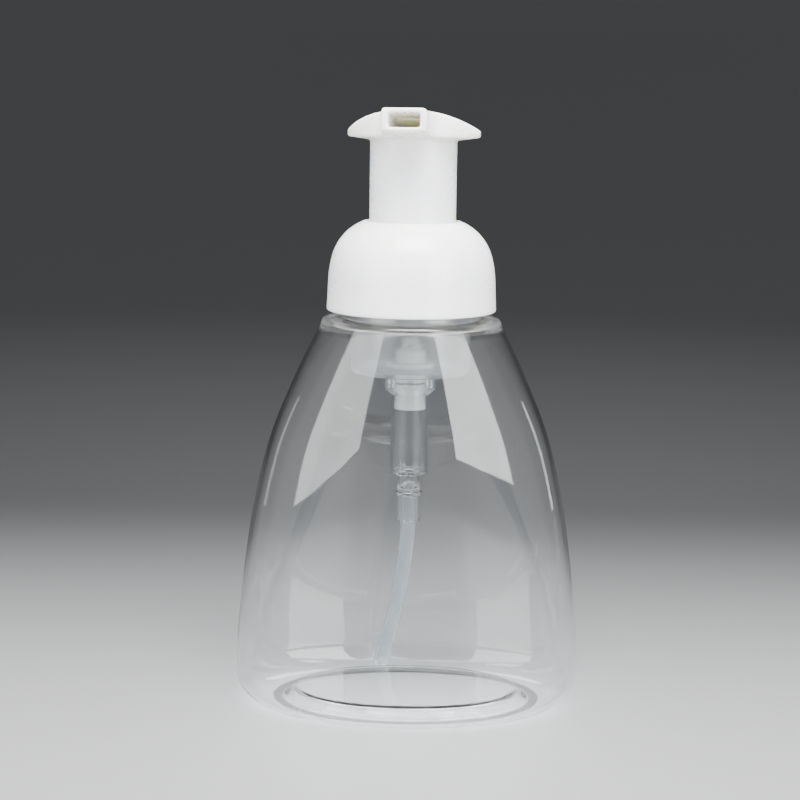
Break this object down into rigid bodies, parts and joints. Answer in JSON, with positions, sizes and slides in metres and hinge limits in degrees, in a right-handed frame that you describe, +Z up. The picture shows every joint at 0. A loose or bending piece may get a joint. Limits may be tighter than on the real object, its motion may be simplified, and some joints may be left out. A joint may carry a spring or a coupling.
{
  "type": "foaming soap pump dispenser",
  "caption": "Clear oval bottle with a white domed screw closure and a press-down foam pump whose winged head has a box-shaped nozzle.",
  "frame": {"origin": "middle of the bottle's foot, on the surface it stands on", "axes": "+Z up along the pump's axis, X across the bottle's width, -Y is the front"},
  "size_m": [0.093, 0.0584, 0.1611],
  "materials": {
    "clear_pet": "clear blown bottle plastic, glossy",
    "white_pp": "white moulded plastic, satin gloss",
    "natural_pp": "uncoloured translucent moulded plastic",
    "natural_pe": "uncoloured translucent extruded tube",
    "white_pe": "milky white moulded plastic",
    "silicone": "pale soft seal",
    "nylon": "white nylon",
    "ball_glass": "polished",
    "spring_steel": "bright drawn wire"
  },
  "bodies": {
    "bottle": {"bottle": "clear_pet"},
    "pump_body": {"pump_housing": "natural_pp", "gasket": "silicone", "retaining_ring": "white_pp", "spring_seat": "white_pe", "return_spring": "spring_steel", "dip_tube": "natural_pe"},
    "closure": {"closure": "white_pp"},
    "plunger": {"stem": "white_pe", "liquid_piston": "white_pe"},
    "air_piston": {"air_piston": "white_pe", "air_valve": "silicone"},
    "head": {"pump_head": "white_pp", "mesh_holder": "nylon", "lower_mesh": "nylon", "upper_mesh": "nylon"},
    "inlet_ball": {"inlet_ball": "ball_glass"},
    "outlet_ball": {"outlet_ball": "ball_glass"}
  },
  "joints": [
    {"name": "pump_lift", "type": "slide", "parent": "bottle", "child": "pump_body", "axis": [0, 0, 1], "range_m": [0, 0.00635]},
    {"name": "closure_turn", "type": "hinge", "parent": "pump_body", "child": "closure", "pos_m": [0, 0, 0.115], "axis": [0, 0, 1], "range_deg": [0, 540]},
    {"name": "pump_stroke", "type": "slide", "parent": "pump_body", "child": "plunger", "axis": [0, 0, -1], "range_m": [0, 0.016], "stiffness_N_per_m": 400, "springref_m": -0.02, "deforming": ["return_spring"]},
    {"name": "air_piston_play", "type": "slide", "parent": "plunger", "child": "air_piston", "axis": [0, 0, 1], "range_m": [0, 0.0009]},
    {"name": "head_turn", "type": "hinge", "parent": "plunger", "child": "head", "pos_m": [0, 0, 0.14], "axis": [0, 0, 1], "continuous": true},
    {"name": "inlet_ball_lift", "type": "slide", "parent": "pump_body", "child": "inlet_ball", "axis": [0, 0, 1], "range_m": [0, 0.0019]},
    {"name": "outlet_ball_lift", "type": "slide", "parent": "plunger", "child": "outlet_ball", "axis": [0, 0, 1], "range_m": [0, 0.001]}
  ],
  "couplings": [
    {"joint": "pump_lift", "follows": "closure_turn", "m_per_rad": 0.00067322}
  ]
}
